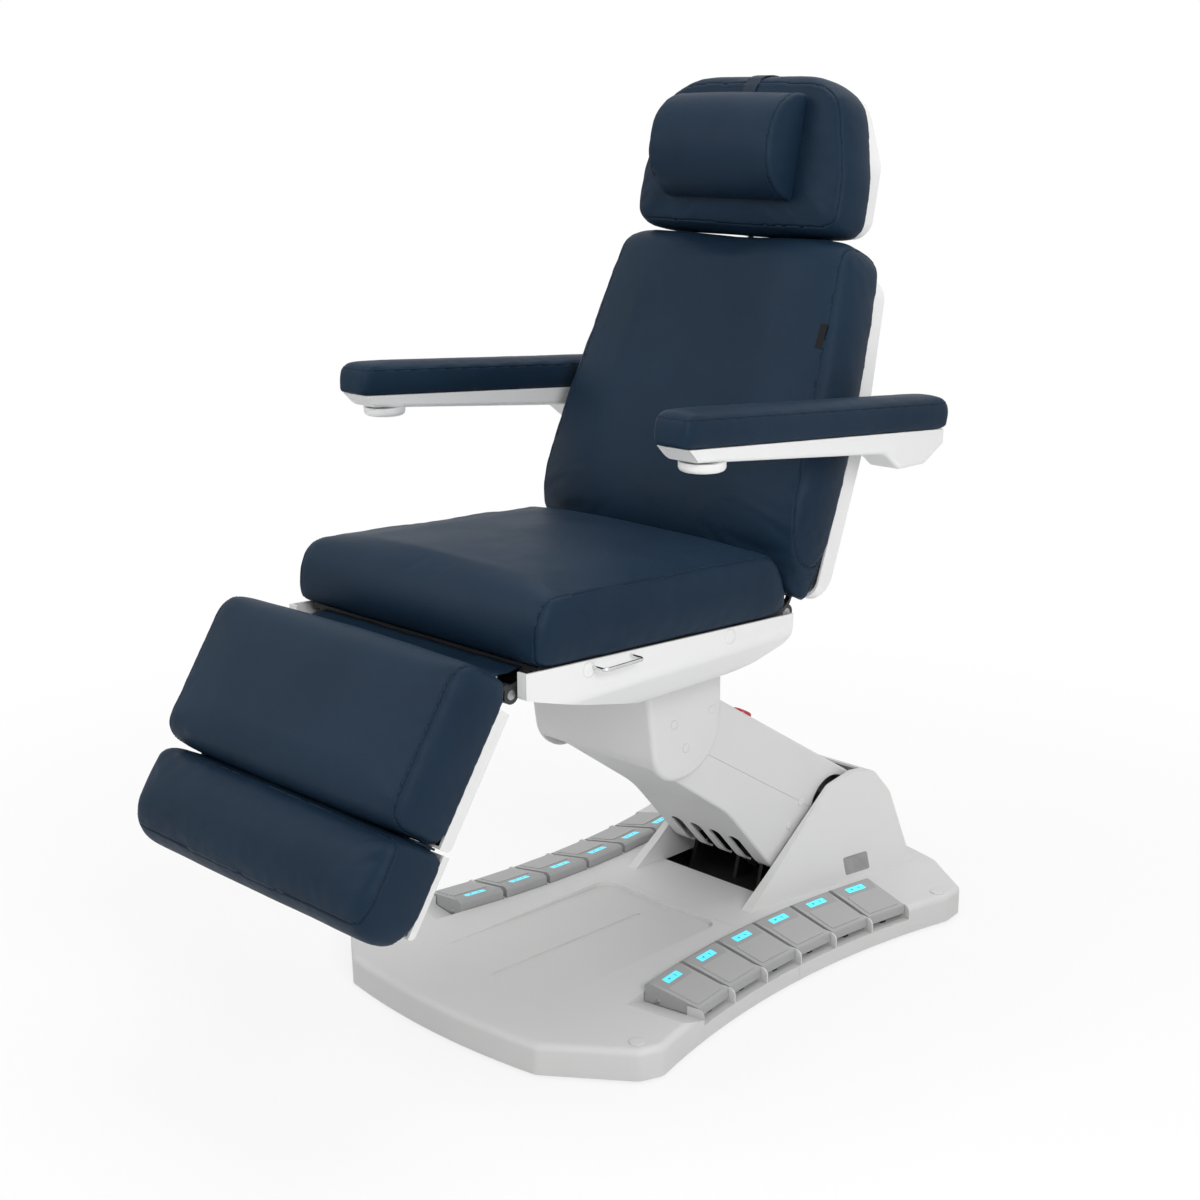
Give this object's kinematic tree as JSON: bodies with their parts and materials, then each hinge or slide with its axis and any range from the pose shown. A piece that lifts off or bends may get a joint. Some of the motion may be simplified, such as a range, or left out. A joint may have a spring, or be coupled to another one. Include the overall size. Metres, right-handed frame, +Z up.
{
  "type": "procedure chair",
  "caption": "Powered procedure chair: low base with foot pedals, leaning lift arm, padded seat, reclining back, head rest, leg and foot rest, armrests that stay level",
  "frame": {"origin": "on the floor under the middle of the whole chair", "axes": "+Z up, the chair faces -Y, +X towards the sitter's left"},
  "size_m": [0.8508, 1.5688, 1.6131],
  "materials": {
    "upholstery": "satin",
    "white_shell": "gloss",
    "grey_cover": "satin",
    "steel_frame": "satin",
    "chrome": "polished",
    "pedal_grey": "matte",
    "stop_red": "gloss",
    "rubber": "matte",
    "black_plastic": "matte",
    "brushed_steel": "brushed",
    "hub_aluminium": "satin"
  },
  "bodies": {
    "base": {"base_frame": "steel_frame", "leveling_feet": "rubber", "base_front_cover": "grey_cover", "base_rear_cover": "grey_cover", "pedal_pins": "brushed_steel", "pedal_switches": "black_plastic", "base_pivot_shafts": "brushed_steel", "control_box": "black_plastic", "power_inlet": "black_plastic"},
    "lift_arm": {"lift_arm_frame": "steel_frame", "lift_arm_cover": "grey_cover", "lift_arm_belly": "grey_cover"},
    "stop_button": {"stop_button": "stop_red"},
    "parallel_link": {"parallel_link": "steel_frame"},
    "lift_actuator": {"lift_actuator": "black_plastic"},
    "lift_rod": {"lift_rod": "chrome"},
    "seat": {"knuckle_bracket": "steel_frame", "knuckle_cover": "grey_cover", "knuckle_shafts": "brushed_steel", "seat_frame": "steel_frame", "seat_pan": "white_shell", "seat_cushion": "upholstery", "hand_control_hook": "chrome", "seat_hinge_pins": "brushed_steel", "leg_flap": "upholstery", "leg_drive": "black_plastic", "back_drive": "black_plastic"},
    "leg_rest": {"leg_frame": "steel_frame", "calf_shell": "white_shell", "calf_cushion": "upholstery"},
    "foot_rest": {"foot_rails": "steel_frame", "foot_shell": "white_shell", "foot_cushion": "upholstery"},
    "back": {"back_frame": "steel_frame", "back_shell": "white_shell", "back_cushion": "upholstery"},
    "head_slider": {"head_rods": "chrome"},
    "head_rest": {"head_shell": "white_shell", "head_cushion": "upholstery", "head_pillow": "upholstery"},
    "arm_hub_left": {"arm_hub_left": "hub_aluminium"},
    "arm_hub_right": {"arm_hub_right": "hub_aluminium"},
    "armrest_left": {"armrest_shell_left": "white_shell", "armrest_pad_left": "upholstery"},
    "armrest_right": {"armrest_shell_right": "white_shell", "armrest_pad_right": "upholstery"},
    "pedal_left_1": {"pedal_left_1": "pedal_grey"},
    "pedal_left_2": {"pedal_left_2": "pedal_grey"},
    "pedal_left_3": {"pedal_left_3": "pedal_grey"},
    "pedal_left_4": {"pedal_left_4": "pedal_grey"},
    "pedal_left_5": {"pedal_left_5": "pedal_grey"},
    "pedal_left_6": {"pedal_left_6": "pedal_grey"},
    "pedal_right_1": {"pedal_right_1": "pedal_grey"},
    "pedal_right_2": {"pedal_right_2": "pedal_grey"},
    "pedal_right_3": {"pedal_right_3": "pedal_grey"},
    "pedal_right_4": {"pedal_right_4": "pedal_grey"},
    "pedal_right_5": {"pedal_right_5": "pedal_grey"},
    "pedal_right_6": {"pedal_right_6": "pedal_grey"}
  },
  "joints": [
    {"name": "lift", "type": "hinge", "parent": "base", "child": "lift_arm", "pos_m": [0, 0.557, 0.19], "axis": [-1, 0, 0], "range_deg": [-24, 17]},
    {"name": "link_swing", "type": "hinge", "parent": "base", "child": "parallel_link", "pos_m": [0, 0.557, 0.138], "axis": [-1, 0, 0], "range_deg": [-24.5, 17.5]},
    {"name": "seat_level", "type": "hinge", "parent": "lift_arm", "child": "seat", "pos_m": [0, 0.095, 0.47], "axis": [-1, 0, 0], "range_deg": [-17.5, 24.5]},
    {"name": "actuator_swing", "type": "hinge", "parent": "base", "child": "lift_actuator", "pos_m": [0, 0.47925, 0.06172], "axis": [-1, 0, 0], "range_deg": [-12.5, 9]},
    {"name": "actuator_stroke", "type": "slide", "parent": "lift_actuator", "child": "lift_rod", "axis": [0, -0.2382, 0.9712], "range_m": [-0.047, 0.034]},
    {"name": "stop_press", "type": "slide", "parent": "lift_arm", "child": "stop_button", "axis": [0, -0.5183, -0.8552], "range_m": [0, 0.006], "stiffness_N_per_m": 1200, "springref_m": -0.004},
    {"name": "leg_raise", "type": "hinge", "parent": "seat", "child": "leg_rest", "pos_m": [0, -0.453, 0.69], "axis": [-1, 0, 0], "range_deg": [-25, 57]},
    {"name": "foot_slide", "type": "slide", "parent": "leg_rest", "child": "foot_rest", "axis": [0, -0.5519, -0.8339], "range_m": [0, 0.12]},
    {"name": "back_recline", "type": "hinge", "parent": "seat", "child": "back", "pos_m": [0, 0.217, 0.69], "axis": [-1, 0, 0], "range_deg": [0, 66]},
    {"name": "head_slide", "type": "slide", "parent": "back", "child": "head_slider", "axis": [0, 0.3746, 0.9272], "range_m": [0, 0.1]},
    {"name": "head_tilt", "type": "hinge", "parent": "head_slider", "child": "head_rest", "pos_m": [0, 0.478, 1.37], "axis": [-1, 0, 0], "range_deg": [0, 35]},
    {"name": "arm_level_left", "type": "hinge", "parent": "back", "child": "arm_hub_left", "pos_m": [0.322, 0.3714, 0.9895], "axis": [-1, 0, 0], "range_deg": [-66.5, 0.5]},
    {"name": "arm_flip_left", "type": "hinge", "parent": "arm_hub_left", "child": "armrest_left", "pos_m": [0.35, 0.3714, 0.9895], "axis": [-1, 0, 0], "range_deg": [0, 90]},
    {"name": "press_left_1", "type": "hinge", "parent": "base", "child": "pedal_left_1", "pos_m": [0.26252, -0.06296, 0.05], "axis": [-0.1528, 0.9883, 0], "range_deg": [0, 5], "stiffness_Nm_per_rad": 20, "springref_deg": -5.16},
    {"name": "press_left_2", "type": "hinge", "parent": "base", "child": "pedal_left_2", "pos_m": [0.2494, 0.04342, 0.05], "axis": [-0.0919, 0.9958, 0], "range_deg": [0, 5], "stiffness_Nm_per_rad": 20, "springref_deg": -5.16},
    {"name": "press_left_3", "type": "hinge", "parent": "base", "child": "pedal_left_3", "pos_m": [0.24282, 0.15041, 0.05], "axis": [-0.0307, 0.9995, 0], "range_deg": [0, 5], "stiffness_Nm_per_rad": 20, "springref_deg": -5.16},
    {"name": "press_left_4", "type": "hinge", "parent": "base", "child": "pedal_left_4", "pos_m": [0.24282, 0.2576, 0.05], "axis": [0.0307, 0.9995, 0], "range_deg": [0, 5], "stiffness_Nm_per_rad": 20, "springref_deg": -5.16},
    {"name": "press_left_5", "type": "hinge", "parent": "base", "child": "pedal_left_5", "pos_m": [0.2494, 0.36458, 0.05], "axis": [0.0919, 0.9958, 0], "range_deg": [0, 5], "stiffness_Nm_per_rad": 20, "springref_deg": -5.16},
    {"name": "press_left_6", "type": "hinge", "parent": "base", "child": "pedal_left_6", "pos_m": [0.26252, 0.47097, 0.05], "axis": [0.1528, 0.9883, 0], "range_deg": [0, 5], "stiffness_Nm_per_rad": 20, "springref_deg": -5.16},
    {"name": "arm_level_right", "type": "hinge", "parent": "back", "child": "arm_hub_right", "pos_m": [-0.322, 0.3714, 0.9895], "axis": [-1, 0, 0], "range_deg": [-66.5, 0.5]},
    {"name": "arm_flip_right", "type": "hinge", "parent": "arm_hub_right", "child": "armrest_right", "pos_m": [-0.35, 0.3714, 0.9895], "axis": [-1, 0, 0], "range_deg": [0, 90]},
    {"name": "press_right_1", "type": "hinge", "parent": "base", "child": "pedal_right_1", "pos_m": [-0.26252, -0.06296, 0.05], "axis": [-0.1528, -0.9883, 0], "range_deg": [0, 5], "stiffness_Nm_per_rad": 20, "springref_deg": -5.16},
    {"name": "press_right_2", "type": "hinge", "parent": "base", "child": "pedal_right_2", "pos_m": [-0.2494, 0.04342, 0.05], "axis": [-0.0919, -0.9958, 0], "range_deg": [0, 5], "stiffness_Nm_per_rad": 20, "springref_deg": -5.16},
    {"name": "press_right_3", "type": "hinge", "parent": "base", "child": "pedal_right_3", "pos_m": [-0.24282, 0.15041, 0.05], "axis": [-0.0307, -0.9995, 0], "range_deg": [0, 5], "stiffness_Nm_per_rad": 20, "springref_deg": -5.16},
    {"name": "press_right_4", "type": "hinge", "parent": "base", "child": "pedal_right_4", "pos_m": [-0.24282, 0.2576, 0.05], "axis": [0.0307, -0.9995, 0], "range_deg": [0, 5], "stiffness_Nm_per_rad": 20, "springref_deg": -5.16},
    {"name": "press_right_5", "type": "hinge", "parent": "base", "child": "pedal_right_5", "pos_m": [-0.2494, 0.36458, 0.05], "axis": [0.0919, -0.9958, 0], "range_deg": [0, 5], "stiffness_Nm_per_rad": 20, "springref_deg": -5.16},
    {"name": "press_right_6", "type": "hinge", "parent": "base", "child": "pedal_right_6", "pos_m": [-0.26252, 0.47097, 0.05], "axis": [0.1528, -0.9883, 0], "range_deg": [0, 5], "stiffness_Nm_per_rad": 20, "springref_deg": -5.16}
  ],
  "couplings": [
    {"joint": "link_swing", "follows": "lift", "ratio": 1},
    {"joint": "seat_level", "follows": "lift", "ratio": -1},
    {"joint": "actuator_swing", "follows": "lift", "ratio": 0.5},
    {"joint": "actuator_stroke", "follows": "lift", "m_per_rad": 0.108},
    {"joint": "arm_level_left", "follows": "back_recline", "ratio": -1},
    {"joint": "arm_level_right", "follows": "back_recline", "ratio": -1}
  ]
}
